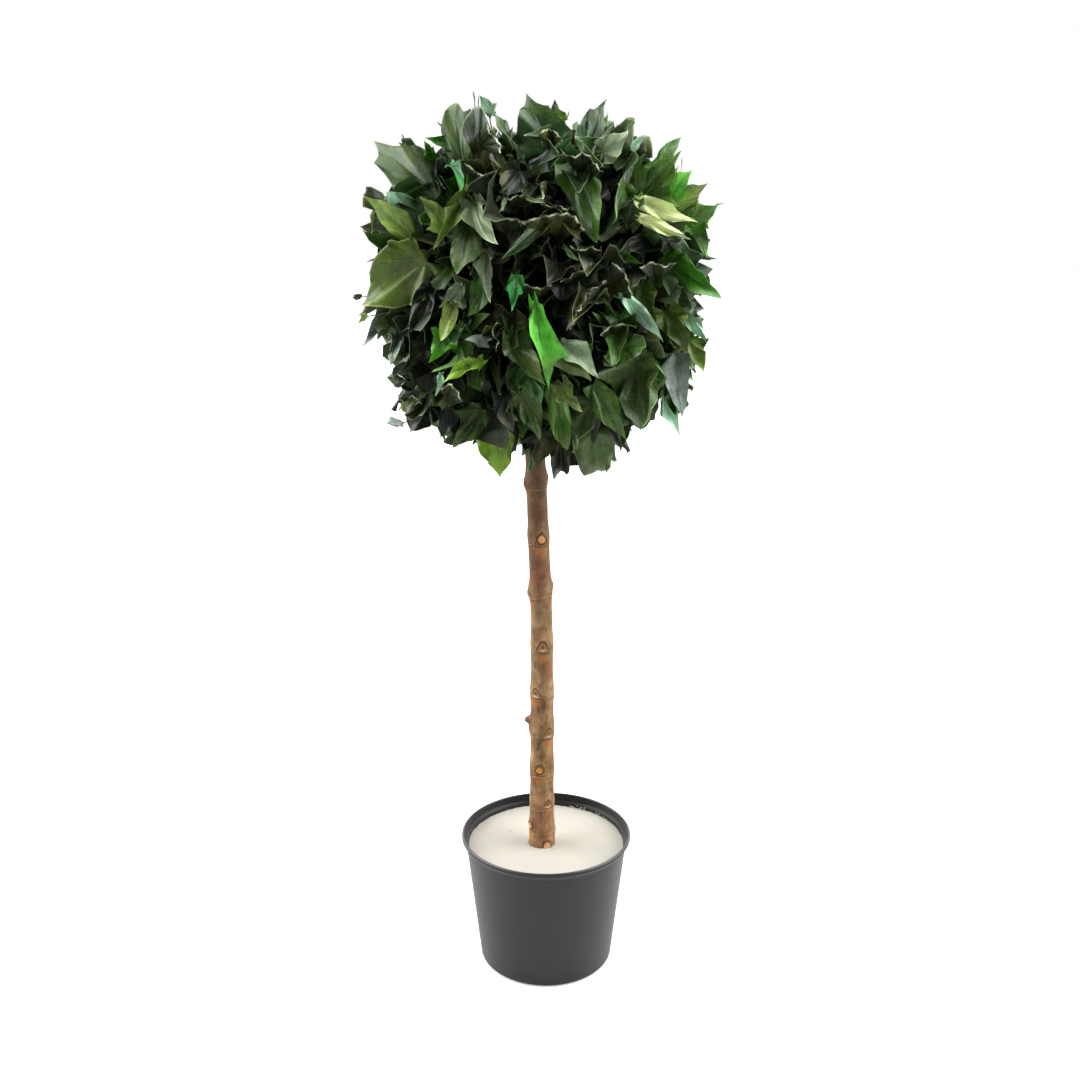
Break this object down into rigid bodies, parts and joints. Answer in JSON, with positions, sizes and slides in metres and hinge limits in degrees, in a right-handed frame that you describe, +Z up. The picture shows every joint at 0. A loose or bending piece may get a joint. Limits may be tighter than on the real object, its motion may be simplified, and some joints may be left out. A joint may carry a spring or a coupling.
{
  "type": "potted ivy ball topiary",
  "caption": "Ball of preserved ivy leaves on a bare wooden trunk, set in plaster in a plain round plastic nursery pot; stands on the pot's flat foot.",
  "frame": {"origin": "centre of the pot's flat underside, on the surface that the pot stands on", "axes": "+Z up along the trunk, -Y towards the viewer of the picture, +X to that viewer's right"},
  "size_m": [0.4741, 0.4577, 1.1993],
  "materials": {
    "pot_plastic": "dark grey moulded plastic, satin",
    "plaster": "cast plaster, cream, matte",
    "bark": "smooth young bark, light brown with orange bud scars",
    "ivy_leaf": "preserved ivy leaves, dark green, satin"
  },
  "bodies": {
    "root": {"pot": "pot_plastic", "plaster_fill": "plaster", "trunk": "bark", "ivy_ball": "ivy_leaf"}
  },
  "joints": []
}
